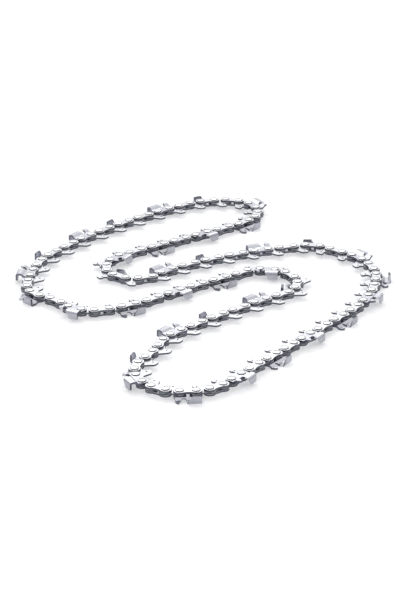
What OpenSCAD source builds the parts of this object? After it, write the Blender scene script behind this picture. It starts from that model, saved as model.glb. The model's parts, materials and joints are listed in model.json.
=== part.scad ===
/* [Pitch] */
// Distance between the two rivets of a drive link
drive_spacing = 8.8; // [8.4:0.05:9.2]
// Distance between the two rivets of a cutter or a tie strap
strap_spacing = 10.25; // [9.8:0.05:10.7]

/* [Plates] */
// Thickness of a drive link, which runs in the groove of the guide bar
gauge = 1.3; // [1.1:0.1:1.6]
// Thickness of the cutters and the tie straps
plate_t = 1.45; // [1.2:0.05:1.7]
// Radius of the round ends of cutters and tie straps
strap_end_r = 3.9; // [3.5:0.1:4]
// Half height of a tie strap at its waist
strap_waist = 2.8; // [2.4:0.1:3.2]
// Radius of the round ends of a drive link
ear_r = 4.1; // [3.8:0.1:4.3]
// Depth of the drive tang below the line of the rivets
tang_depth = 10.4; // [9:0.2:11]
// Radius of the small round hole in the drive tang
oil_hole_r = 0.7; // [0.5:0.1:0.9]

/* [Cutter] */
// Height of the cutting edge above the line of the rivets
cutter_h = 10.2; // [9.5:0.1:10.6]
// Height of the depth gauge above the line of the rivets
depth_gauge_h = 8.7; // [8:0.1:9.2]
// Thickness of the top plate
top_plate_t = 1.25; // [1:0.05:1.5]
// Width of the top plate across the chain
top_plate_w = 5.3; // [4.6:0.1:5.8]
// How far the side plate is set outwards from its foot
side_set = 1.3; // [1:0.1:1.5]
// Relief angle, by which the top plate falls away behind the cutting edge
relief_angle = 5; // [3:1:7]
// Filing angle, by which the cutting edge slants back across the chain
filing_angle = 30; // [20:1:35]
// Radius of the round file that hollows the cutting edge
file_r = 2.4; // [2:0.1:2.5]

/* [Rivets] */
// Radius of the middle of a rivet, on which the drive link turns
hub_r = 2.6; // [2.4:0.05:2.8]
// Radius of the two ends that pass through the plates
spigot_r = 1.9; // [1.7:0.05:2]
// Radius of the formed head
head_r = 2.75; // [2.5:0.05:3]
// Height of the formed head
head_h = 0.8; // [0.6:0.05:0.9]

/* [Fits] */
// Clearance of a drive link round its rivet
running_gap = 0.05; // [0.03:0.01:0.08]
// Clearance on each side of a drive link
side_gap = 0.05; // [0.03:0.01:0.08]
// Clearance of a riveted end in its plate
rivet_gap = 0.01; // [0.005:0.005:0.02]
// Extra clearance at the one pivot where the loop is opened
open_gap = 0.85; // [0.5:0.05:0.9]

/* [Hidden] */
// One section holds a cutter, its facing strap, a pair of tie straps, two drive links and four rivets
// The side plate is above the middle plane in a right-hand cutter and below it in a left-hand one
sections = 36;
links_per_section = 4;
links = sections * links_per_section;

// How the loop lies: stretches of pivots and the bend of each pivot in degrees, followed
// anticlockwise from the first cutter. The last stretch takes what is left of the full turn.
lay = [
    [3, 3.5], [3, 20.5], [2, -13], [3, 24], [4, 6], [6, -1], [2, 2],
    [6, -23.5], [2, -20.5], [10, 1], [2, 12.5], [3, -3.5],
    [7, 17.5], [3, 16.5], [14, 0], [7, 4.5], [5, 11], [2, 2], [2, 25.5],
    [8, 2], [4, 4], [5, -26.5], [3, -19.5], [10, 0], [2, 9.5],
    [6, 22], [3, 9.5], [8, 1.5], [6, 1.75]
];
first_heading = -96.5;
last_pivots = 3;
// Moves the middle of the rivets' own box, so that the middle of the whole chain is at the origin
centring = [-0.25, 1.25];

given_bends = [for (row = lay) for (i = [1:row[0]]) row[1]];
given_turn = given_bends * [for (b = given_bends) 1];
last_bend = (360 - given_turn) / last_pivots;
bends = concat(given_bends, [for (i = [1:last_pivots]) last_bend]);

// Even links are cutters and tie straps in turn, odd links are drive links
function spacing(link) = link % 2 == 0 ? strap_spacing : drive_spacing;
headings = [for (i = 0, a = first_heading; i < links; i = i + 1, a = a + (i < links ? bends[i] : 0)) a];
steps = [for (i = [0:links - 1]) spacing(i) * [cos(headings[i]), sin(headings[i])]];
strung = [for (i = 0, p = [0, 0]; i <= links; i = i + 1, p = p + (i <= links ? steps[i - 1] : [0, 0])) p];
// What the loop lacks to close is shared out over all pivots, a few microns each
closed = [for (i = [0:links]) strung[i] - strung[links] * i / links];
box_low = [min([for (p = closed) p.x]), min([for (p = closed) p.y])];
box_high = [max([for (p = closed) p.x]), max([for (p = closed) p.y])];
rivet_at = [for (p = closed) p - (box_low + box_high) / 2 + centring];

// Heights from the middle plane of the chain
plate_z = gauge / 2 + side_gap;
plate_top = plate_z + plate_t;
side_z = plate_z + side_set;
side_top = side_z + plate_t;
// The chain lies on the side plates of its lower cutters
middle_z = side_top;

// Places along a cutter, from the middle between its rivets; the depth gauge leads
edge_x = -1.2;
heel_x = 8;
file_below = 0.6 * file_r;
gullet_r = 1.85;
gullet_x = -2.75;
gullet_y = 6;
sides = 48;

function two_digits(k) = str(k < 10 ? "0" : "", k);
function is_upper(k) = k % 2 == 1;
function section_name(k) = str(is_upper(k) ? "right" : "left", "_cutter_section_", two_digits(k));

// Draws its children between two neighbouring rivets, x along the chain and y into the loop
module between(link) {
    a = rivet_at[link];
    b = rivet_at[link + 1];
    translate([(a.x + b.x) / 2, (a.y + b.y) / 2, middle_z])
        rotate([0, 0, atan2(b.y - a.y, b.x - a.x)])
            children();
}

// A pair of circles, one at each rivet of a plate
module rivet_circles(spacing, r) {
    for (side = [-1, 1])
        translate([side * spacing / 2, 0])
            circle(r, $fn = sides);
}

// Peanut outline of a tie strap: round ends joined by a waist hollowed on both edges
module strap_outline() {
    shoulder = 0.88 * strap_end_r;
    hollow_r = 13;
    difference() {
        union() {
            rivet_circles(strap_spacing, strap_end_r);
            square([strap_spacing, 2 * shoulder], center = true);
        }
        for (side = [-1, 1])
            translate([0, side * (strap_waist + hollow_r)])
                circle(hollow_r, $fn = 2 * sides);
    }
}

module tie_strap() {
    color("lightsteelblue")
        linear_extrude(plate_t)
            difference() {
                strap_outline();
                rivet_circles(strap_spacing, spigot_r + rivet_gap);
            }
}

// Drive link outline: two ears, a saddle between them and a tang hooked forwards
module drive_outline() {
    saddle_r = 7;
    saddle_low = 2.2;
    hook_r = 2.1;
    difference() {
        union() {
            rivet_circles(drive_spacing, ear_r);
            translate([0, -1.4])
                square([drive_spacing, 4], center = true);
            polygon([
                [-drive_spacing / 2 - ear_r + 0.2, 0.4],
                [drive_spacing / 2 + ear_r - 0.2, 0.4],
                [4.9, 4.4],
                [3.1, 6.8],
                [1.2, tang_depth - 0.5],
                [-0.2, tang_depth],
                [-3.1, tang_depth - 0.1],
                [-3.7, tang_depth - 0.8],
                [-4.9, 5.6],
                [-6.6, 4]
            ]);
        }
        translate([0, -saddle_low - saddle_r])
            circle(saddle_r, $fn = 2 * sides);
        translate([-5.3, 6.6])
            circle(hook_r, $fn = sides);
        translate([-1.6, tang_depth - 3.2])
            circle(oil_hole_r, $fn = sides);
    }
}

module drive_link() {
    color("silver")
        translate([0, 0, -gauge / 2])
            linear_extrude(gauge)
                difference() {
                    drive_outline();
                    rivet_circles(drive_spacing, hub_r + running_gap);
                }
}

// Side plate outline above the foot, y measured outwards: depth gauge, gullet and tooth
module tooth_outline() {
    difference() {
        polygon([
            [-8.2, 0],
            [-8.3, 2.8],
            [-7.8, 6.2],
            [-7, depth_gauge_h - 0.7],
            [-5.9, depth_gauge_h],
            [-5.1, depth_gauge_h - 0.1],
            [gullet_x - gullet_r, depth_gauge_h - 0.8],
            [gullet_x - gullet_r, gullet_y],
            [gullet_x + gullet_r, gullet_y],
            [edge_x, cutter_h],
            [heel_x, cutter_h - (heel_x - edge_x) * tan(relief_angle)],
            [heel_x + 0.1, 5.2],
            [heel_x + 0.5, 2.4],
            [heel_x + 0.2, 0]
        ]);
        translate([gullet_x, gullet_y])
            circle(gullet_r, $fn = sides);
    }
}

// Cross-section of the side plate, which is set outwards above its foot
module side_section() {
    set_low = 3.9;
    set_high = 5.3;
    polygon([
        [-strap_end_r - 1, plate_z],
        [set_low + plate_t / 2, plate_z],
        [set_high + plate_t / 2, side_z],
        [cutter_h + 1, side_z],
        [cutter_h + 1, side_top],
        [set_high, side_top],
        [set_low, plate_top],
        [-strap_end_r - 1, plate_top]
    ]);
}

module side_plate() {
    reach = 20;
    intersection() {
        translate([0, 0, plate_z - 1])
            linear_extrude(side_top - plate_z + 2)
                union() {
                    strap_outline();
                    mirror([0, 1])
                        tooth_outline();
                }
        translate([-reach / 2, 0, 0])
            rotate([90, 0, 90])
                linear_extrude(reach)
                    mirror([1, 0])
                        side_section();
    }
}

module top_plate() {
    fall = (heel_x - edge_x) * tan(relief_angle);
    translate([0, 0, side_top - top_plate_w])
        linear_extrude(top_plate_w)
            mirror([0, 1])
                polygon([
                    [edge_x, cutter_h - top_plate_t],
                    [edge_x, cutter_h],
                    [heel_x, cutter_h - fall],
                    [heel_x, cutter_h - fall - top_plate_t]
                ]);
}

// The round file, laid at the filing angle, hollows the cutting edge and slants it
module file_cut() {
    edge_to_axis = sqrt(file_r * file_r - file_below * file_below) / cos(filing_angle);
    translate([edge_x - edge_to_axis, file_below - cutter_h, side_top])
        rotate([0, -filing_angle, 0])
            cylinder(h = 8 * file_r, r = file_r, center = true, $fn = sides);
}

module cutter() {
    color("gainsboro")
        difference() {
            union() {
                side_plate();
                top_plate();
            }
            translate([0, 0, plate_z - 1])
                linear_extrude(plate_t + 2)
                    rivet_circles(strap_spacing, spigot_r + rivet_gap);
            file_cut();
        }
}

// One turned rivet: a thick middle, two ends through the plates and two domed heads
module rivet(middle_r) {
    half_head = plate_top + head_h;
    upper = [
        [middle_r, plate_z - rivet_gap],
        [spigot_r, plate_z - rivet_gap],
        [spigot_r, plate_top + rivet_gap],
        [head_r, plate_top + rivet_gap],
        [head_r, plate_top + head_h * 0.35],
        [head_r * 0.86, plate_top + head_h * 0.75],
        [head_r * 0.5, half_head],
        [0, half_head]
    ];
    lower = [for (i = [len(upper) - 1:-1:0]) [upper[i].x, -upper[i].y]];
    color("white")
        translate([0, 0, middle_z])
            rotate_extrude($fn = sides)
                polygon(concat(upper, lower));
}

module section(k) {
    first = (k - 1) * links_per_section;
    up = is_upper(k) ? 0 : 1;
    // Cutter on its own side and a plain strap facing it
    between(first)
        mirror([0, 0, up])
            cutter();
    between(first)
        mirror([0, 0, 1 - up])
            translate([0, 0, plate_z])
                tie_strap();
    between(first + 1)
        drive_link();
    for (side = [0, 1])
        between(first + 2)
            mirror([0, 0, side])
                translate([0, 0, plate_z])
                    tie_strap();
    between(first + 3)
        drive_link();
    for (i = [0:links_per_section - 1])
        translate([rivet_at[first + i].x, rivet_at[first + i].y, 0])
            rivet(first + i == 0 ? hub_r - open_gap : hub_r);
}

for (k = [1:sections])
    section(k);
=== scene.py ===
"""Looks of a chainsaw chain that lies on its side in an S-shaped loop.

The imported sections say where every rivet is. Each kind of link is built once, as the real one is
stamped, bent, filed or turned, and a Geometry Nodes tree sets its copies on each section's links.
Sizes are in millimetres, and x runs along the loop, y into it and z up across the chain.
"""

import json
import logging
import math
from collections.abc import Sequence
from dataclasses import dataclass, field
from enum import Enum

import bmesh
import bpy
import numpy as np
from mathutils import Matrix, Vector

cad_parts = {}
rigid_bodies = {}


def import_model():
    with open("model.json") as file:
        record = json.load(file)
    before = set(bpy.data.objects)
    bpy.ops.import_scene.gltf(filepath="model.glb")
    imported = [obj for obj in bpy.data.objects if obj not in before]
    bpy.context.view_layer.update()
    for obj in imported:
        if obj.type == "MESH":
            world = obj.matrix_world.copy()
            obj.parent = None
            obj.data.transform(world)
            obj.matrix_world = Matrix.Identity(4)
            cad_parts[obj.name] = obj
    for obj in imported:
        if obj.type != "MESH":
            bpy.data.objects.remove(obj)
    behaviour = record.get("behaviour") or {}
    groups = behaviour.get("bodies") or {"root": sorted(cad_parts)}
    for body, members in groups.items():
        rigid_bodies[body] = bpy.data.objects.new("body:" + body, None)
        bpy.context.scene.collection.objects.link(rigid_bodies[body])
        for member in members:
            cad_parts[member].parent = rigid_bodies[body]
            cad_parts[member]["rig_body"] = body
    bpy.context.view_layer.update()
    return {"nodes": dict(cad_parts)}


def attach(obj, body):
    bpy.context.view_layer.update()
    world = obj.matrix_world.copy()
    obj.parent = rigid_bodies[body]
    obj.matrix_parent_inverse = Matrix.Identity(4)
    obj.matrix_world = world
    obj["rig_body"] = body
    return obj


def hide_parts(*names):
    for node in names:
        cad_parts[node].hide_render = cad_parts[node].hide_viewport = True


MM = 0.001
# Face attribute that darkens a face: the blue-grey of sheared edges, and painted shade on faces turned to the side.
BLUED_AND_SHADE = "blued_and_shade"
TONE = "tone"
TURN = "turn"
Point = tuple[float, float]
Colour = tuple[float, float, float]
log = logging.getLogger("chain")


class Hand(Enum):
    """Side of the chain that a cutter's side plate stands on."""

    RIGHT = "right"
    LEFT = "left"


class Face(Enum):
    """How dark a kind of face is painted, from 0 bright to 1 dark: partly the blue-grey of heat treatment on sheared
    edges, partly painted shade on faces turned to the side.
    """

    ROLLED = 0.0
    FILED = 0.1
    CHAMFER = 0.35
    PLATED = 0.55
    SHEARED = 1.0

    @property
    def mark(self) -> int:
        """Material index that marks this kind of face while a link is being made."""
        return list(Face).index(self)


# Outlines


def arc(centre: Point, radius: float, start: float, end: float, steps: int) -> list[Point]:
    """Points along an arc, both ends included.

    Args:
        centre: Middle of the circle.
        radius: Radius of the circle.
        start: Angle of the first point in degrees.
        end: Angle of the last point in degrees; a smaller one than start runs clockwise.
        steps: Number of straight pieces.

    Returns:
        The steps + 1 points.
    """
    angles = [math.radians(start + (end - start) * i / steps) for i in range(steps + 1)]
    return [(centre[0] + radius * math.cos(a), centre[1] + radius * math.sin(a)) for a in angles]


def hole(centre: Point, radius: float, steps: int) -> list[Point]:
    """A round hole's clockwise ring, so that the material is on its left as on an outline's."""
    return arc(centre, radius, 360, 0, steps)[:-1]


def angle_of(centre: Point, point: Point) -> float:
    """Direction from centre to point, in degrees."""
    return math.degrees(math.atan2(point[1] - centre[1], point[0] - centre[0]))


def circles_meet(a: Point, a_radius: float, b: Point, b_radius: float, side: int) -> Point:
    """Where two circles cross.

    Args:
        a: Middle of the first circle.
        a_radius: Radius of the first circle.
        b: Middle of the second circle.
        b_radius: Radius of the second circle.
        side: 1 for the crossing on the left of the way from a to b, -1 for the one on its right.

    Returns:
        The crossing.
    """
    dx, dy = b[0] - a[0], b[1] - a[1]
    apart = math.hypot(dx, dy)
    along = (a_radius**2 - b_radius**2 + apart**2) / (2 * apart)
    across = side * math.sqrt(max(0.0, a_radius**2 - along**2))
    return (a[0] + (dx * along - dy * across) / apart, a[1] + (dy * along + dx * across) / apart)


def touch(point: Point, centre: Point, radius: float, side: int) -> Point:
    """Where a line from a point touches a circle, seen from the point on the left (1) or right (-1)."""
    apart = math.dist(point, centre)
    reach = math.sqrt(apart**2 - radius**2)
    return circles_meet(centre, radius, point, reach, -side)


def rounded(corners: Sequence[tuple[float, float, float]], steps: int) -> list[Point]:
    """An open path whose inner corners are rounded.

    Args:
        corners: x, y and corner radius of each corner; the first and last stay sharp.
        steps: Straight pieces in each rounded corner.

    Returns:
        The points of the path.
    """
    path = [corners[0][:2]]
    for before, corner, after in zip(corners, corners[1:], corners[2:]):
        if corner[2] == 0:
            path.append(corner[:2])
            continue
        p = Vector(corner[:2])
        back, ahead = Vector(before[:2]) - p, Vector(after[:2]) - p
        half = back.angle(ahead) / 2
        reach = min(corner[2] / math.tan(half), 0.49 * back.length, 0.49 * ahead.length)
        radius = reach * math.tan(half)
        centre = p + (back.normalized() + ahead.normalized()).normalized() * (radius / math.sin(half))
        first = angle_of(centre[:], (p + back.normalized() * reach)[:])
        last = angle_of(centre[:], (p + ahead.normalized() * reach)[:])
        turn = (last - first + 180) % 360 - 180
        path += arc(centre[:], radius, first, first + turn, steps)
    path.append(corners[-1][:2])
    return path


def inset(ring: Sequence[Point], depth: float) -> list[Point]:
    """The ring moved into the material on its left by depth, corner by corner."""
    moved = []
    for i, point in enumerate(ring):
        before = Vector(point) - Vector(ring[i - 1])
        after = Vector(ring[(i + 1) % len(ring)]) - Vector(point)
        n1 = Vector((-before.y, before.x)).normalized()
        n2 = Vector((-after.y, after.x)).normalized()
        moved.append(tuple(Vector(point) + (n1 + n2) * (depth / max(0.4, 1 + n1.dot(n2)))))
    return moved


# Meshes


def finished(bm: bmesh.types.BMesh, name: str) -> bpy.types.Object:
    """Makes a link's object from its bmesh, in metres, with each face's darkness attribute: the blue-grey of sheared
    edges and painted shade on faces turned to the side.

    Args:
        bm: Closed mesh in millimetres, whose faces have their kind's mark. It is freed.
        name: Name of the object.

    Returns:
        The object, linked to the scene as a pattern for its copies.
    """
    kinds = list(Face)
    shade = bm.faces.layers.float.new(BLUED_AND_SHADE)
    for f in bm.faces:
        f[shade] = kinds[f.material_index].value
        f.smooth = True
        f.material_index = 0
    bm.transform(Matrix.Scale(MM, 4))
    mesh = bpy.data.meshes.new(name)
    bm.to_mesh(mesh)
    bm.free()
    mesh.set_sharp_from_angle(angle=math.radians(35))
    made = bpy.data.objects.new(name, mesh)
    bpy.context.scene.collection.objects.link(made)
    log.info("%s: %d faces", name, len(mesh.polygons))
    return made


def stamped(
    name: str, outline: list[Point], holes: list[list[Point]], low: float, high: float, chamfer: float
) -> bpy.types.Object:
    """A flat plate stamped from sheet, with its outer edges broken by a small chamfer.

    Args:
        name: Name of the object.
        outline: Anticlockwise ring.
        holes: Clockwise rings.
        low: Height of the lower face.
        high: Height of the upper face.
        chamfer: Width of the broken edge.

    Returns:
        The plate's object.
    """
    bm = bmesh.new()
    broken = [(inset(outline, chamfer), low), (outline, low + chamfer), (outline, high - chamfer), (inset(outline, chamfer), high)]
    walls = [broken] + [[(ring, low), (ring, high)] for ring in holes]
    rims: dict[float, list[bmesh.types.BMEdge]] = {low: [], high: []}
    for wall in walls:
        rings = [[bm.verts.new((x, y, z)) for x, y in ring] for ring, z in wall]
        for below, above in zip(rings, rings[1:]):
            slanted = wall is broken and above is not rings[2]
            for i in range(len(below)):
                quad = bm.faces.new((below[i - 1], below[i], above[i], above[i - 1]))
                # Side walls take the darkest mark: the darker sheared edge and painted shade on faces turned to the
                # side. Chamfers take a middle mark, partly painted shade.
                quad.material_index = (Face.CHAMFER if slanted else Face.SHEARED).mark
        for ring, z in ((rings[0], low), (rings[-1], high)):
            rims[z] += [bm.edges.get((ring[i - 1], ring[i])) for i in range(len(ring))]
    for z, edges in rims.items():
        way = Vector((0, 0, 1 if z == high else -1))
        bmesh.ops.triangle_fill(bm, use_beauty=True, use_dissolve=True, edges=edges, normal=way)
    bmesh.ops.recalc_face_normals(bm, faces=bm.faces)
    return finished(bm, name)


@dataclass(frozen=True)
class Pitch:
    """Sizes that every link of the chain shares."""

    strap_spacing: float = 10.25
    drive_spacing: float = 8.8
    gauge: float = 1.3
    side_gap: float = 0.05
    plate: float = 1.45
    end_radius: float = 3.9
    waist: float = 2.8
    hollow_radius: float = 13.0
    spigot_radius: float = 1.9
    hub_radius: float = 2.6
    chamfer: float = 0.14

    @property
    def plate_low(self) -> float:
        """Height of a plate's inner face above the middle plane."""
        return self.gauge / 2 + self.side_gap

    @property
    def plate_high(self) -> float:
        """Height of a plate's outer face above the middle plane."""
        return self.plate_low + self.plate

    def hollow(self, side: int, steps: int) -> list[Point]:
        """The hollowed waist edge between the round ends, on the side y < 0 (-1) or y > 0 (1).

        Args:
            side: Side of the strap.
            steps: Straight pieces.

        Returns:
            Points of the edge, anticlockwise round the strap.
        """
        centre = (0.0, side * (self.waist + self.hollow_radius))
        end = circles_meet((side * self.strap_spacing / 2, 0), self.end_radius, centre, self.hollow_radius, 1)
        first = angle_of(centre, end)
        middle = -90.0 * side
        turn = (first - middle + 180) % 360 - 180
        return arc(centre, self.hollow_radius, middle + turn, middle - turn, steps)


@dataclass(frozen=True)
class TieStrap:
    """Peanut-shaped plate on two rivets, beside a drive link or facing a cutter."""

    pitch: Pitch
    end_steps: int = 10
    waist_steps: int = 4
    hole_steps: int = 12

    def build(self) -> bpy.types.Object:
        """Stamps the strap, centred on its own middle."""
        p = self.pitch
        outline: list[Point] = []
        for side in (-1, 1):
            waist = p.hollow(side, self.waist_steps)
            outline += waist[:-1]
            centre = (-side * p.strap_spacing / 2, 0.0)
            start, end = angle_of(centre, waist[-1]), angle_of(centre, p.hollow(-side, self.waist_steps)[0])
            outline += arc(centre, p.end_radius, start, start + (end - start) % 360, self.end_steps)[:-1]
        holes = [hole((x * p.strap_spacing / 2, 0), p.spigot_radius, self.hole_steps) for x in (-1, 1)]
        return stamped("strap_pattern", outline, holes, -p.plate / 2, p.plate / 2, p.chamfer)


@dataclass(frozen=True)
class DriveLink:
    """Link in the middle plane: two ears, a saddle and a tang hooked forwards into the loop."""

    pitch: Pitch
    ear_radius: float = 4.1
    saddle_radius: float = 7.0
    saddle_low: float = 2.2
    hook_centre: Point = (-5.3, 6.6)
    hook_radius: float = 2.1
    oil_hole: Point = (-1.6, 7.2)
    oil_hole_radius: float = 0.7
    hub_gap: float = 0.05
    back: tuple[tuple[float, float, float], ...] = (
        (4.9, 4.4, 2.5),
        (3.1, 6.8, 6.0),
        (1.2, 9.9, 1.4),
        (-0.2, 10.4, 1.5),
        (-3.1, 10.3, 0.5),
        (-3.7, 9.6, 0.6),
    )
    front_shoulder: Point = (-6.6, 4.0)

    def outline(self) -> list[Point]:
        """The anticlockwise outline, from the saddle round the rear ear, tang, hook and front ear."""
        ear_x = self.pitch.drive_spacing / 2
        saddle = (0.0, -self.saddle_low - self.saddle_radius)
        foot = circles_meet((ear_x, 0), self.ear_radius, saddle, self.saddle_radius, 1)
        half = angle_of(saddle, foot) - 90
        ring = arc(saddle, self.saddle_radius, 90 - half, 90 + half, 8)[:-1]
        rear, front = (ear_x, 0.0), (-ear_x, 0.0)
        leave = touch(self.back[0][:2], rear, self.ear_radius, 1)
        start = angle_of(rear, foot)
        ring += arc(rear, self.ear_radius, start, angle_of(rear, leave), 12)
        into_hook = arc(self.hook_centre, self.hook_radius, 52, -106, 9)
        corners = [(*leave, 0.0), *self.back, (*into_hook[0], 0.0)]
        ring += rounded(corners, 2)[1:-1] + into_hook
        arrive = touch(self.front_shoulder, front, self.ear_radius, -1)
        ring += rounded([(*into_hook[-1], 0.0), (*self.front_shoulder, 1.0), (*arrive, 0.0)], 2)[1:-1]
        end = angle_of(front, (-foot[0], foot[1]))
        first = angle_of(front, arrive)
        ring += arc(front, self.ear_radius, first, first + (end - first) % 360, 12)[:-1]
        return ring

    def build(self) -> bpy.types.Object:
        """Stamps the drive link, centred between its rivets on the middle plane."""
        p = self.pitch
        bore = p.hub_radius + self.hub_gap
        holes = [hole((x * p.drive_spacing / 2, 0), bore, 16) for x in (-1, 1)]
        holes.append(hole(self.oil_hole, self.oil_hole_radius, 8))
        return stamped("drive_link_pattern", self.outline(), holes, -p.gauge / 2, p.gauge / 2, p.chamfer)


@dataclass(frozen=True)
class Cutter:
    """Cutting link: one blank with foot, depth gauge and tooth, set outwards, bent over and filed."""

    pitch: Pitch
    height: float = 10.2
    gauge_height: float = 8.7
    thickness: float = 1.4
    set_from: float = 3.9
    set_to: float = 5.6
    side_set: float = 1.3
    bend_radius: float = 1.7
    plate_width: float = 5.3
    edge_x: float = -1.2
    heel_x: float = 8.0
    relief: float = 5.0
    filing: float = 30.0
    file_radius: float = 2.4
    file_below: float = 1.44
    gullet: Point = (-2.75, 6.0)
    gullet_radius: float = 1.85

    @property
    def middle_radius(self) -> float:
        """Radius of the bend, measured in the middle of the sheet."""
        return self.bend_radius - self.thickness / 2

    def bend_start(self, x: float) -> float:
        """How far out the sheet starts to bend over, at a place along the cutter."""
        return self.height - self.bend_radius - (x - self.edge_x) * math.tan(math.radians(self.relief))

    def blank(self) -> list[Point]:
        """Outline of the flat blank, y outwards, anticlockwise, with the top plate unbent."""
        p = self.pitch
        flat = self.plate_width - self.bend_radius
        bend = self.middle_radius * math.pi / 2
        slant = math.tan(math.radians(self.filing))
        front, rear = (-p.strap_spacing / 2, 0.0), (p.strap_spacing / 2, 0.0)
        waist = p.hollow(-1, 5)
        ring = waist[:-1]
        start = angle_of(rear, waist[-1])
        ring += arc(rear, p.end_radius, start, -5, 5)
        over = self.bend_start(self.heel_x) + bend + flat
        lead = self.bend_start(self.edge_x)
        ring += rounded(
            [
                (*arc(rear, p.end_radius, -5, -5, 1)[0], 0.0),
                (8.6, 2.4, 1.5),
                (self.heel_x, 5.4, 2.0),
                (self.heel_x, over, 0.5),
                (self.edge_x + (bend + flat) * slant, lead + bend + flat, 0.0),
                (self.edge_x, lead + bend / 2, 0.0),
                (self.gullet[0] + self.gullet_radius, self.gullet[1] + 0.6, 0.0),
            ],
            2,
        )[1:-1]
        ring += arc(self.gullet, self.gullet_radius, 0, -180, 9)
        ring += rounded(
            [
                (self.gullet[0] - self.gullet_radius, self.gullet[1], 0.0),
                (self.gullet[0] - self.gullet_radius, self.gauge_height - 0.8, 0.5),
                (-5.1, self.gauge_height - 0.1, 0.5),
                (-5.9, self.gauge_height, 0.8),
                (-7.0, self.gauge_height - 0.7, 1.2),
                (-7.9, 6.2, 3.0),
                (-8.6, 2.8, 3.0),
                (*arc(front, p.end_radius, 185, 185, 1)[0], 0.0),
            ],
            2,
        )[1:-1]
        end = angle_of(front, waist[0]) % 360
        ring += arc(front, p.end_radius, 185, end, 5)[:-1]
        return ring

    def folded(self, x: float, out: float) -> Vector:
        """Where a point of the blank's middle surface goes when the sheet is set and bent."""
        foot = self.pitch.plate_high - self.thickness / 2 - 0.02
        rise = min(1.0, max(0.0, (out - self.set_from) / (self.set_to - self.set_from)))
        z = foot + self.side_set * rise
        over = out - self.bend_start(x)
        if over <= 0:
            return Vector((x, -out, z))
        angle = min(over / self.middle_radius, math.pi / 2)
        beyond = max(0.0, over - self.middle_radius * math.pi / 2)
        reach = self.bend_start(x) + self.middle_radius * math.sin(angle)
        return Vector((x, -reach, z - self.middle_radius * (1 - math.cos(angle)) - beyond))

    def sheet(self) -> bmesh.types.BMesh:
        """The bent middle surface, with its fold lines as edges."""
        bm = bmesh.new()
        p = self.pitch
        rings = [self.blank()] + [hole((x * p.strap_spacing / 2, 0), p.spigot_radius, 12) for x in (-1, 1)]
        edges = []
        for ring in rings:
            verts = [bm.verts.new((x, y, 0)) for x, y in ring]
            edges += [bm.edges.new((verts[i - 1], verts[i])) for i in range(len(verts))]
        bmesh.ops.triangle_fill(bm, use_beauty=True, use_dissolve=True, edges=edges, normal=(0, 0, 1))
        fall = math.tan(math.radians(self.relief))
        bend = self.middle_radius * math.pi / 2
        folds = [(self.set_from, 0.0), (self.set_to, 0.0)]
        folds += [(self.bend_start(0) + bend * i / 5, fall) for i in range(6)]
        for out, slope in folds:
            whole = [*bm.verts, *bm.edges, *bm.faces]
            bmesh.ops.bisect_plane(bm, geom=whole, plane_co=(0, out, 0), plane_no=(slope, 1, 0), dist=1e-5)
        for v in bm.verts:
            v.co = self.folded(v.co.x, v.co.y)
        bmesh.ops.recalc_face_normals(bm, faces=bm.faces)
        return bm

    def file(self) -> bpy.types.Object:
        """The round file that hollows the cutting edge, laid at the filing angle."""
        slant = math.radians(self.filing)
        away = math.sqrt(self.file_radius**2 - self.file_below**2) / math.cos(slant)
        top = self.pitch.plate_high + self.side_set
        bm = bmesh.new()
        bmesh.ops.create_cone(
            bm, cap_ends=True, segments=40, radius1=self.file_radius, radius2=self.file_radius, depth=8 * self.file_radius
        )
        place = Matrix.Translation((self.edge_x - away, self.file_below - self.height, top))
        bm.transform(place @ Matrix.Rotation(-slant, 4, "Y"))
        for f in bm.faces:
            f.material_index = Face.FILED.mark
        mesh = bpy.data.meshes.new("file")
        bm.to_mesh(mesh)
        bm.free()
        made = bpy.data.objects.new("file", mesh)
        bpy.context.scene.collection.objects.link(made)
        return made

    def build(self) -> dict[Hand, bpy.types.Object]:
        """Bends, thickens and files the right-hand cutter, and mirrors it for the left hand.

        Returns:
            The pattern of each hand.
        """
        bm = self.sheet()
        mesh = bpy.data.meshes.new("blank")
        bm.to_mesh(mesh)
        bm.free()
        blank = bpy.data.objects.new("blank", mesh)
        bpy.context.scene.collection.objects.link(blank)
        file = self.file()
        for part in (blank, file):
            for kind in Face:
                part.data.materials.append(bpy.data.materials.get(kind.name) or bpy.data.materials.new(kind.name))
        wall = blank.modifiers.new("wall", "SOLIDIFY")
        wall.thickness, wall.offset, wall.use_even_offset = self.thickness, 0, True
        # Cut edges and bevels take dark marks: the darker sheared edge, and painted shade on faces turned to the
        # side.
        wall.material_offset_rim = Face.SHEARED.mark
        edge = blank.modifiers.new("edge", "BEVEL")
        edge.width, edge.segments, edge.limit_method = self.pitch.chamfer, 1, "ANGLE"
        edge.angle_limit, edge.material = math.radians(60), Face.CHAMFER.mark
        cut = blank.modifiers.new("cut", "BOOLEAN")
        cut.operation, cut.solver, cut.object, cut.material_mode = "DIFFERENCE", "EXACT", file, "INDEX"
        made = {}
        for hand in Hand:
            graph = bpy.context.evaluated_depsgraph_get()
            bent = bmesh.new()
            bent.from_object(blank, graph)
            bmesh.ops.remove_doubles(bent, verts=bent.verts, dist=1e-4)
            if hand is Hand.LEFT:
                bent.transform(Matrix.Scale(-1, 4, (0, 0, 1)))
            bmesh.ops.recalc_face_normals(bent, faces=bent.faces)
            # Rolled faces turned to the side, such as the top plate's outside, get a middle darkness: painted shade.
            for f in bent.faces:
                if f.material_index == Face.ROLLED.mark and abs(f.normal.z) < 0.6:
                    f.material_index = Face.PLATED.mark
            made[hand] = finished(bent, f"{hand.value}_cutter_pattern")
        for part in (blank, file):
            bpy.data.objects.remove(part)
        return made


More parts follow.
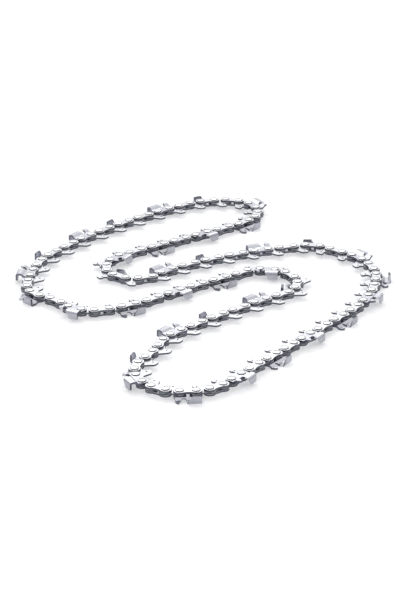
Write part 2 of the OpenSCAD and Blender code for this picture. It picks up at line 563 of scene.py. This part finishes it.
@dataclass(frozen=True)
class Rivet:
    """Turned rivet: a thick middle for the drive link, two thinner ends and two formed heads."""

    pitch: Pitch
    head_radius: float = 2.75
    head_height: float = 0.8
    play: float = 0.01
    steps: int = 16

    def build(self) -> bpy.types.Object:
        """Turns the rivet about the z axis, centred on the middle plane."""
        p, r, h = self.pitch, self.head_radius, self.head_height
        # The head's side and lower slope take dark marks: painted shade under the head, a dark crescent. The top
        # stays bright.
        half = [
            (p.hub_radius, p.plate_low - self.play, Face.SHEARED),
            (p.spigot_radius, p.plate_low - self.play, Face.SHEARED),
            (p.spigot_radius, p.plate_high + self.play, Face.SHEARED),
            (r, p.plate_high + self.play, Face.SHEARED),
            (r, p.plate_high + 0.4 * h, Face.SHEARED),
            (r * 0.84, p.plate_high + 0.8 * h, Face.CHAMFER),
            (r * 0.45, p.plate_high + h, Face.ROLLED),
        ]
        profile = [(radius, -z, kind) for radius, z, kind in reversed(half)] + half
        bm = bmesh.new()
        rings = []
        for radius, z, _ in profile:
            rings.append([bm.verts.new((x, y, z)) for x, y in arc((0, 0), radius, 0, 360, self.steps)[:-1]])
        for i, (below, above) in enumerate(zip(rings, rings[1:])):
            outer = profile[i] if profile[i][1] < 0 else profile[i + 1]
            for k in range(self.steps):
                bm.faces.new((below[k - 1], below[k], above[k], above[k - 1])).material_index = outer[2].mark
        for ring in (rings[0][::-1], rings[-1]):
            bm.faces.new(ring)
        bmesh.ops.recalc_face_normals(bm, faces=bm.faces)
        return finished(bm, "rivet_pattern")


# Where the links lie


@dataclass(frozen=True)
class Section:
    """One packed section: its node and body, the hand of its cutter and its rivets in order."""

    number: int
    node: str
    body: str
    hand: Hand
    rivets: tuple[Vector, ...]


@dataclass
class ChainLay:
    """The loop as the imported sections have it, read from their rivets."""

    nodes: dict[str, bpy.types.Object]
    rivet_width: float = 6.5
    weld: float = 1e-6
    sections: list[Section] = field(default_factory=list)

    def read(self) -> list[Section]:
        """Finds and orders the rivets of every section.

        Returns:
            The sections in their order round the loop.
        """
        names = sorted(self.nodes, key=lambda name: int(name[-2:]))
        found = {name: self.rivets_of(self.nodes[name]) for name in names}
        last = found[names[-1]]
        here = min(last, key=lambda r: min((r - s).length for s in found[names[0]]))
        for name in names:
            left, ordered = list(found[name]), []
            while left:
                here = min(left, key=lambda r: (r - here).length)
                left.remove(here)
                ordered.append(here)
            hand = Hand(name.split("_")[0])
            body = self.nodes[name]["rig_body"]
            self.sections.append(Section(int(name[-2:]), name, body, hand, tuple(ordered)))
        return self.sections

    def rivets_of(self, node: bpy.types.Object) -> list[Vector]:
        """Middles of a node's rivets, which are its only solids narrower than a link.

        Args:
            node: A packed section.

        Returns:
            One point for each rivet, in metres.
        """
        bm = bmesh.new()
        bm.from_mesh(node.data)
        bmesh.ops.remove_doubles(bm, verts=bm.verts, dist=self.weld)
        waiting, middles = set(bm.verts), []
        while waiting:
            shell, edge = set(), [waiting.pop()]
            while edge:
                v = edge.pop()
                shell.add(v)
                ahead = {e.other_vert(v) for e in v.link_edges} & waiting
                waiting -= ahead
                edge += ahead
            points = np.array([v.co for v in shell])
            low, high = points.min(0), points.max(0)
            if max((high - low)[:2]) < self.rivet_width * MM:
                middles.append(Vector((low + high) / 2))
        bm.free()
        return middles


# Setting the links


class LinkSetter:
    """Geometry Nodes tree that sets copies of one link on points and gives each its own tone."""

    def __init__(self) -> None:
        """Builds the tree with its named inputs."""
        tree = bpy.data.node_groups.new("set_links", "GeometryNodeTree")
        sockets = (
            ("Points", "NodeSocketGeometry"),
            ("Link", "NodeSocketObject"),
            ("Finish", "NodeSocketMaterial"),
            ("Darkest Tone", "NodeSocketFloat"),
            ("Seed", "NodeSocketInt"),
        )
        for label, kind in sockets:
            tree.interface.new_socket(label, in_out="INPUT", socket_type=kind)
        tree.interface.new_socket("Links", in_out="OUTPUT", socket_type="NodeSocketGeometry")
        add, join = tree.nodes.new, tree.links.new
        given, result = add("NodeGroupInput"), add("NodeGroupOutput")
        info = add("GeometryNodeObjectInfo")
        turn = add("GeometryNodeInputNamedAttribute")
        turn.data_type = "FLOAT"
        turn.inputs["Name"].default_value = TURN
        about_z, rotation = add("ShaderNodeCombineXYZ"), add("FunctionNodeEulerToRotation")
        place = add("GeometryNodeInstanceOnPoints")
        chance = add("FunctionNodeRandomValue")
        chance.data_type = "FLOAT"
        mark = add("GeometryNodeStoreNamedAttribute")
        mark.data_type, mark.domain = "FLOAT", "INSTANCE"
        mark.inputs["Name"].default_value = TONE
        real, dress = add("GeometryNodeRealizeInstances"), add("GeometryNodeSetMaterial")
        join(given.outputs["Points"], place.inputs["Points"])
        join(given.outputs["Link"], info.inputs["Object"])
        join(info.outputs["Geometry"], place.inputs["Instance"])
        join(turn.outputs["Attribute"], about_z.inputs["Z"])
        join(about_z.outputs["Vector"], rotation.inputs["Euler"])
        join(rotation.outputs["Rotation"], place.inputs["Rotation"])
        join(given.outputs["Darkest Tone"], chance.inputs[2])
        join(given.outputs["Seed"], chance.inputs["Seed"])
        join(place.outputs["Instances"], mark.inputs["Geometry"])
        join(chance.outputs[1], mark.inputs["Value"])
        join(mark.outputs["Geometry"], real.inputs["Geometry"])
        join(real.outputs["Geometry"], dress.inputs["Geometry"])
        join(given.outputs["Finish"], dress.inputs["Material"])
        join(dress.outputs["Geometry"], result.inputs["Links"])
        self.tree = tree

    def set(
        self, name: str, places: list[tuple[Vector, float]], link: bpy.types.Object, finish: bpy.types.Material, seed: int
    ) -> bpy.types.Object:
        """Sets the copies and makes them one plain mesh.

        Args:
            name: Name of the piece.
            places: Middle of each link in metres, and its turn about z in radians.
            link: Pattern of the link.
            finish: Material of the piece.
            seed: Fixes the tones.

        Returns:
            The piece, at the origin.
        """
        mesh = bpy.data.meshes.new(name)
        mesh.from_pydata([tuple(middle) for middle, _ in places], [], [])
        turns = mesh.attributes.new(TURN, "FLOAT", "POINT")
        turns.data.foreach_set("value", [turn for _, turn in places])
        piece = bpy.data.objects.new(name, mesh)
        modifier = piece.modifiers.new("links", "NODES")
        modifier.node_group = self.tree
        values = {"Link": link, "Finish": finish, "Darkest Tone": 0.0, "Seed": seed}
        for item in self.tree.interface.items_tree:
            if item.in_out == "INPUT" and item.name in values:
                modifier[item.identifier] = values[item.name]
        bpy.context.scene.collection.objects.link(piece)
        graph = bpy.context.evaluated_depsgraph_get()
        plain = bpy.data.meshes.new_from_object(
            piece.evaluated_get(graph), preserve_all_data_layers=True, depsgraph=graph
        )
        piece.modifiers.remove(modifier)
        piece.data = plain
        plain.name = name
        bpy.data.meshes.remove(mesh)
        return piece


# Finishes


class SteelSurface:
    """Shader group that all steels share: rolled faces, darker blue-grey sheared edges with painted shade on faces
    turned to the side, grain and tone.
    """

    def __init__(self) -> None:
        """Builds the group with its named inputs and outputs."""
        tree = bpy.data.node_groups.new("steel_surface", "ShaderNodeTree")
        for label, kind in (
            ("Bright", "NodeSocketColor"),
            ("Blued And Shade", "NodeSocketColor"),
            ("Bright Roughness", "NodeSocketFloat"),
            ("Blued Roughness", "NodeSocketFloat"),
            ("Grain Scale", "NodeSocketFloat"),
            ("Tone Spread", "NodeSocketFloat"),
        ):
            tree.interface.new_socket(label, in_out="INPUT", socket_type=kind)
        for label, kind in (("Color", "NodeSocketColor"), ("Roughness", "NodeSocketFloat"), ("Height", "NodeSocketFloat")):
            tree.interface.new_socket(label, in_out="OUTPUT", socket_type=kind)
        self.tree = tree
        self.given, result = tree.nodes.new("NodeGroupInput"), tree.nodes.new("NodeGroupOutput")
        blued_and_shade, tone = self.attribute(BLUED_AND_SHADE), self.attribute(TONE)
        grain = self.noise(self.given.outputs["Grain Scale"], (1, 1, 1))
        clouds = self.noise(140.0, (1, 1, 1))
        streaks = self.noise(1500.0, (1, 1, 0.1))
        # Mixes the bright colour towards the dark one by each face's mark: darker sheared edges, and painted shade on
        # faces turned to the side.
        colour = tree.nodes.new("ShaderNodeMix")
        colour.data_type = "RGBA"
        tree.links.new(blued_and_shade, colour.inputs["Factor"])
        tree.links.new(self.given.outputs["Bright"], colour.inputs[6])
        tree.links.new(self.given.outputs["Blued And Shade"], colour.inputs[7])
        edge_streaks = self.math("MULTIPLY", self.centred(streaks), blued_and_shade)
        level = self.math("MULTIPLY_ADD", self.centred(tone), self.given.outputs["Tone Spread"], 1.0)
        level = self.math("MULTIPLY_ADD", self.centred(clouds), 0.12, level)
        level = self.math("MULTIPLY_ADD", self.centred(grain), 0.10, level)
        level = self.math("MULTIPLY_ADD", edge_streaks, 0.9, level)
        scaled = tree.nodes.new("ShaderNodeVectorMath")
        scaled.operation = "SCALE"
        tree.links.new(colour.outputs[2], scaled.inputs[0])
        tree.links.new(level, scaled.inputs["Scale"])
        rough = tree.nodes.new("ShaderNodeMix")
        tree.links.new(blued_and_shade, rough.inputs["Factor"])
        tree.links.new(self.given.outputs["Bright Roughness"], rough.inputs[2])
        tree.links.new(self.given.outputs["Blued Roughness"], rough.inputs[3])
        tree.links.new(scaled.outputs[0], result.inputs["Color"])
        tree.links.new(self.math("MULTIPLY_ADD", self.centred(grain), 0.16, rough.outputs[0]), result.inputs["Roughness"])
        tree.links.new(self.math("MULTIPLY_ADD", edge_streaks, 2.0, grain), result.inputs["Height"])

    def attribute(self, name: str) -> bpy.types.NodeSocket:
        """Value of a mesh attribute."""
        node = self.tree.nodes.new("ShaderNodeAttribute")
        node.attribute_name = name
        return node.outputs["Fac"]

    def noise(self, scale: float | bpy.types.NodeSocket, stretch: Colour) -> bpy.types.NodeSocket:
        """Noise on Object coordinates.

        Args:
            scale: Cells in a metre, as a number or a socket.
            stretch: Factor on each axis; a small one draws the cells out along it.

        Returns:
            The noise's value socket.
        """
        place, stretched = self.tree.nodes.new("ShaderNodeTexCoord"), self.tree.nodes.new("ShaderNodeMapping")
        stretched.inputs["Scale"].default_value = stretch
        node = self.tree.nodes.new("ShaderNodeTexNoise")
        node.inputs["Detail"].default_value = 2.0
        self.tree.links.new(place.outputs["Object"], stretched.inputs["Vector"])
        self.tree.links.new(stretched.outputs["Vector"], node.inputs["Vector"])
        if isinstance(scale, float):
            node.inputs["Scale"].default_value = scale
        else:
            self.tree.links.new(scale, node.inputs["Scale"])
        return node.outputs["Fac"]

    def math(self, operation: str, *values: float | bpy.types.NodeSocket) -> bpy.types.NodeSocket:
        """Math node of numbers and sockets.

        Args:
            operation: Name of the node's operation.
            values: Its inputs in order.

        Returns:
            The result's socket.
        """
        node = self.tree.nodes.new("ShaderNodeMath")
        node.operation = operation
        for i, value in enumerate(values):
            if isinstance(value, float):
                node.inputs[i].default_value = value
            else:
                self.tree.links.new(value, node.inputs[i])
        return node.outputs[0]

    def centred(self, value: bpy.types.NodeSocket) -> bpy.types.NodeSocket:
        """The value less a half, so that it lightens and darkens alike."""
        return self.math("SUBTRACT", value, 0.5)


@dataclass(frozen=True)
class SteelFinish:
    """Finish of one kind of link."""

    slot: str
    bright: Colour
    blued_and_shade: Colour
    bright_roughness: float
    blued_roughness: float
    grain_scale: float
    tone_spread: float
    relief: float

    def material(self, surface: SteelSurface) -> bpy.types.Material:
        """Makes the material.

        Args:
            surface: Shader group that the steels share.

        Returns:
            The material.
        """
        made = bpy.data.materials.new(f"{self.slot}_finish")
        made.use_nodes = True
        nodes, links = made.node_tree.nodes, made.node_tree.links
        shader = nodes["Principled BSDF"]
        shader.inputs["Metallic"].default_value = 1.0
        steel = nodes.new("ShaderNodeGroup")
        steel.node_tree = surface.tree
        for label, value in (
            ("Bright", (*self.bright, 1.0)),
            ("Blued And Shade", (*self.blued_and_shade, 1.0)),
            ("Bright Roughness", self.bright_roughness),
            ("Blued Roughness", self.blued_roughness),
            ("Grain Scale", self.grain_scale),
            ("Tone Spread", self.tone_spread),
        ):
            steel.inputs[label].default_value = value
        bump = nodes.new("ShaderNodeBump")
        bump.inputs["Strength"].default_value = 0.5
        bump.inputs["Distance"].default_value = self.relief * MM
        links.new(steel.outputs["Color"], shader.inputs["Base Color"])
        links.new(steel.outputs["Roughness"], shader.inputs["Roughness"])
        links.new(steel.outputs["Height"], bump.inputs["Height"])
        links.new(bump.outputs["Normal"], shader.inputs["Normal"])
        return made


# Each steel's second colour darkens its marked faces: partly the darker sheared edges, partly painted shade on faces
# turned to the side. The rivet's near-black one paints the shade under its heads.
LINK_STEEL = SteelFinish("link_steel", (0.80, 0.81, 0.84), (0.13, 0.135, 0.16), 0.34, 0.5, 1600.0, 0.16, 0.02)
CUTTER_STEEL = SteelFinish("cutter_steel", (0.74, 0.75, 0.80), (0.15, 0.155, 0.19), 0.26, 0.4, 2200.0, 0.14, 0.012)
RIVET_STEEL = SteelFinish("rivet_steel", (0.90, 0.90, 0.92), (0.045, 0.045, 0.055), 0.24, 0.45, 1800.0, 0.06, 0.01)


# Chain


@dataclass
class Chain:
    """The whole chain: patterns of its links, and the pieces that they make in every section."""

    pitch: Pitch = field(default_factory=Pitch)
    pieces: int = 0

    def build(self, sections: list[Section]) -> None:
        """Sets every section's links and hands them to the sections' bodies.

        Args:
            sections: The sections in their order round the loop.
        """
        cutters = Cutter(self.pitch).build()
        strap = TieStrap(self.pitch).build()
        drive = DriveLink(self.pitch).build()
        rivet = Rivet(self.pitch).build()
        surface = SteelSurface()
        steels = {finish.slot: finish.material(surface) for finish in (CUTTER_STEEL, LINK_STEEL, RIVET_STEEL)}
        setter = LinkSetter()
        beside = (self.pitch.plate_low + self.pitch.plate / 2) * MM
        for section, after in zip(sections, sections[1:] + sections[:1]):
            rivets = [*section.rivets, after.rivets[0]]
            links = [self.between(a, b) for a, b in zip(rivets, rivets[1:])]
            facing = -1 if section.hand is Hand.RIGHT else 1
            straps = [self.raised(links[0], facing * beside)]
            straps += [self.raised(links[2], side * beside) for side in (-1, 1)]
            own = (
                ("cutter", links[:1], cutters[section.hand], CUTTER_STEEL.slot),
                ("tie_straps", straps, strap, LINK_STEEL.slot),
                ("drive_links", [links[1], links[3]], drive, LINK_STEEL.slot),
                ("rivets", [(r, 0.0) for r in section.rivets], rivet, RIVET_STEEL.slot),
            )
            for i, (kind, places, pattern, slot) in enumerate(own):
                name = f"{kind}_{section.number:02d}"
                piece = setter.set(name, places, pattern, steels[slot], seed=section.number * len(own) + i)
                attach(piece, section.body)
                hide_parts(section.node)
                self.pieces += 1
                log.info("%s: %d faces on %s", name, len(piece.data.polygons), section.body)
        for pattern in (*cutters.values(), strap, drive, rivet):
            bpy.data.objects.remove(pattern)

    @staticmethod
    def between(a: Vector, b: Vector) -> tuple[Vector, float]:
        """Middle and turn of the link between two rivets."""
        way = b - a
        return (a + b) / 2, math.atan2(way.y, way.x)

    @staticmethod
    def raised(place: tuple[Vector, float], height: float) -> tuple[Vector, float]:
        """The place moved up by a height in metres."""
        return place[0] + Vector((0, 0, height)), place[1]


# Studio


@dataclass(frozen=True)
class Studio:
    """Plain pale floor, soft light from above and behind, and the camera of the photograph."""

    target: tuple[float, float, float] = (-0.86, -26.97, 6.2)
    azimuth: float = -0.022
    elevation: float = 23.17
    distance: float = 1504.2
    lens: float = 135.63
    floor_half: float = 8.0
    floor_colour: Colour = (0.86, 0.86, 0.87)
    floor_glow: float = 0.32

    def build(self) -> None:
        """Makes the camera, the floor, the world and the lamp."""
        self.camera()
        self.floor()
        self.world()
        self.lamp("key", (-0.25, 1.0, 1.15), (1.5, 0.9), 8.0)
        scene = bpy.context.scene
        scene.view_settings.view_transform = "Standard"

    def camera(self) -> None:
        """Camera at the photograph's place, fitted to the chain's rivets in it."""
        data = bpy.data.cameras.new("camera")
        data.lens, data.sensor_width, data.clip_start, data.clip_end = self.lens, 36.0, 0.01, 100.0
        rise = math.radians(self.elevation)
        look = Vector(
            (
                math.sin(self.azimuth) * math.cos(rise),
                math.cos(self.azimuth) * math.cos(rise),
                -math.sin(rise),
            )
        )
        made = bpy.data.objects.new("camera", data)
        made.location = (Vector(self.target) - look * self.distance) * MM
        made.rotation_euler = look.to_track_quat("-Z", "Y").to_euler()
        bpy.context.scene.collection.objects.link(made)
        bpy.context.scene.camera = made

    def floor(self) -> None:
        """Pale floor that keeps the chain's shadow and shows white to the camera and in the steel."""
        half = self.floor_half
        mesh = bpy.data.meshes.new("floor")
        mesh.from_pydata([(-half, -half, 0), (half, -half, 0), (half, half, 0), (-half, half, 0)], [], [(0, 1, 2, 3)])
        made = bpy.data.objects.new("floor", mesh)
        bpy.context.scene.collection.objects.link(made)
        paint = bpy.data.materials.new("floor")
        paint.use_nodes = True
        nodes, links = paint.node_tree.nodes, paint.node_tree.links
        nodes.remove(nodes["Principled BSDF"])
        matt, glow, both = nodes.new("ShaderNodeBsdfDiffuse"), nodes.new("ShaderNodeEmission"), nodes.new("ShaderNodeAddShader")
        matt.inputs["Color"].default_value = (*self.floor_colour, 1.0)
        strength = nodes.new("ShaderNodeMath")
        strength.operation = "MULTIPLY"
        strength.inputs[1].default_value = self.floor_glow
        links.new(self.seen(paint.node_tree), strength.inputs[0])
        links.new(strength.outputs[0], glow.inputs["Strength"])
        links.new(matt.outputs[0], both.inputs[0])
        links.new(glow.outputs[0], both.inputs[1])
        links.new(both.outputs[0], nodes["Material Output"].inputs["Surface"])
        made.data.materials.append(paint)

    @staticmethod
    def seen(tree: bpy.types.NodeTree) -> bpy.types.NodeSocket:
        """A socket that is 1 for rays from the camera, from steel and through glass."""
        path = tree.nodes.new("ShaderNodeLightPath")
        total = path.outputs["Is Camera Ray"]
        for label in ("Is Glossy Ray", "Is Transmission Ray"):
            add = tree.nodes.new("ShaderNodeMath")
            add.operation = "ADD"
            add.use_clamp = True
            tree.links.new(total, add.inputs[0])
            tree.links.new(path.outputs[label], add.inputs[1])
            total = add.outputs[0]
        return total

    def world(self) -> None:
        """Even studio light, brighter above the horizon than below it, and white where the camera sees past the
        floor.
        """
        world = bpy.data.worlds.new("studio")
        world.use_nodes = True
        bpy.context.scene.world = world
        nodes, links = world.node_tree.nodes, world.node_tree.links
        back = nodes["Background"]
        place, parts, ramp = nodes.new("ShaderNodeTexCoord"), nodes.new("ShaderNodeSeparateXYZ"), nodes.new("ShaderNodeValToRGB")
        links.new(place.outputs["Generated"], parts.inputs[0])
        links.new(parts.outputs["Z"], ramp.inputs["Fac"])
        stops = ramp.color_ramp.elements
        for stop, (where, level) in zip(stops, ((0.0, 0.42), (1.0, 0.72))):
            stop.position, stop.color = where, (level, level, level * 1.01, 1.0)
        middle = stops.new(0.3)
        middle.color = (0.78, 0.78, 0.79, 1.0)
        white, path = nodes.new("ShaderNodeMix"), nodes.new("ShaderNodeLightPath")
        white.data_type = "RGBA"
        white.inputs[7].default_value = (1, 1, 1, 1)
        links.new(path.outputs["Is Camera Ray"], white.inputs["Factor"])
        links.new(ramp.outputs["Color"], white.inputs[6])
        links.new(white.outputs[2], back.inputs["Color"])

    @staticmethod
    def lamp(name: str, place: Colour, size: Point, power: float) -> None:
        """Soft box that looks at the chain.

        Args:
            name: Name of the lamp.
            place: Where it stands, in metres.
            size: Its width and height in metres.
            power: Its power in watts.
        """
        data = bpy.data.lights.new(name, "AREA")
        data.shape, data.energy = "RECTANGLE", power
        data.size, data.size_y = size
        made = bpy.data.objects.new(name, data)
        made.location = place
        made.rotation_euler = (-Vector(place)).to_track_quat("-Z", "Y").to_euler()
        bpy.context.scene.collection.objects.link(made)


def main() -> None:
    """Builds the chain and the studio."""
    logging.basicConfig(level=logging.INFO, format="%(message)s")
    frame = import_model()
    sections = ChainLay(frame["nodes"]).read()
    chain = Chain()
    chain.build(sections)
    log.info("%d pieces in %d sections", chain.pieces, len(sections))
    Studio().build()


if __name__ == "__main__":
    main()
